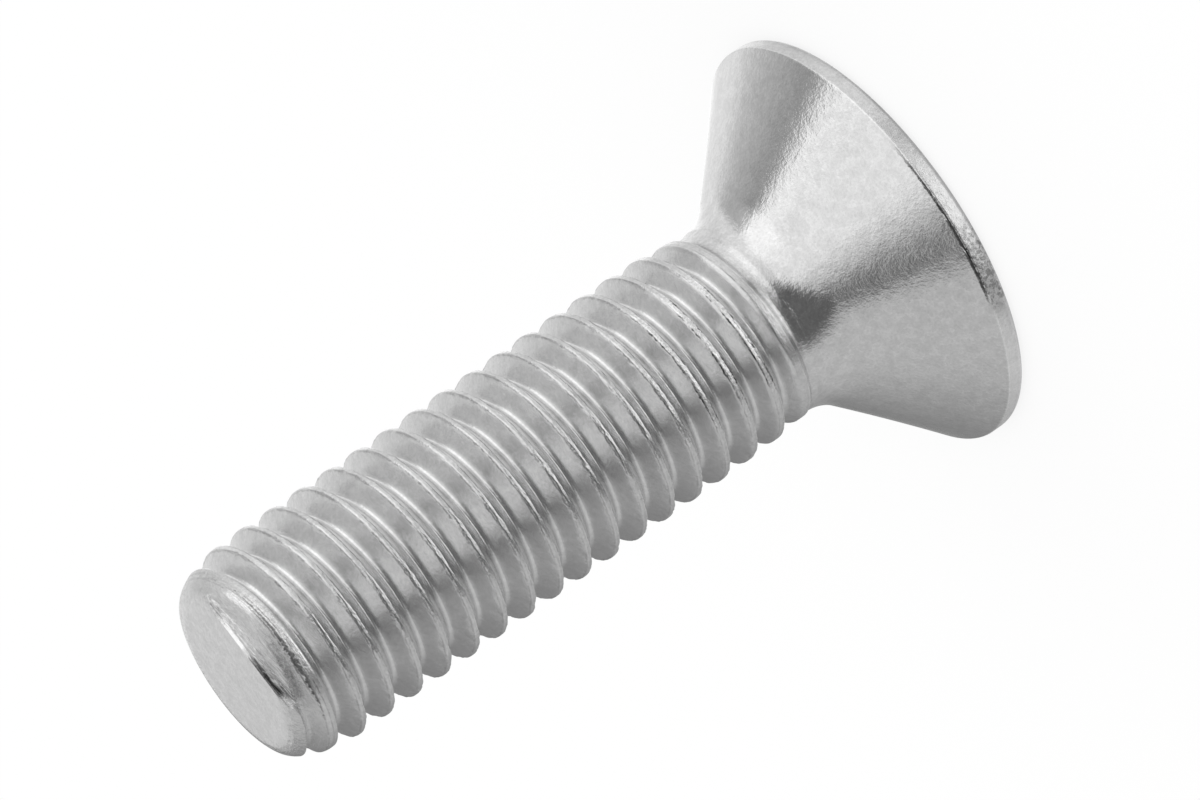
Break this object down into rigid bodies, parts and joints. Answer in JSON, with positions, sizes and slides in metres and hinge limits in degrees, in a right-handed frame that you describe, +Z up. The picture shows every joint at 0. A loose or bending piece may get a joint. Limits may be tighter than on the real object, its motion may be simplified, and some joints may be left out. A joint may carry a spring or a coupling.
{
  "type": "countersunk socket screw",
  "caption": "Countersunk machine screw with a flat head, a hex socket and a metric thread up to a short plain neck, for flush fastening.",
  "frame": {"origin": "centre of the head's flat face, which the screw stands on", "axes": "+Z up the shank towards the tip, +X towards a corner of the hex socket; the socket opens downwards"},
  "size_m": [0.0195, 0.0194, 0.0345],
  "materials": {
    "steel": "satin zinc-plated steel with a fine grain, brighter worn thread crests and a slightly mottled head"
  },
  "bodies": {
    "root": {"countersunk_screw": "steel"}
  },
  "joints": []
}
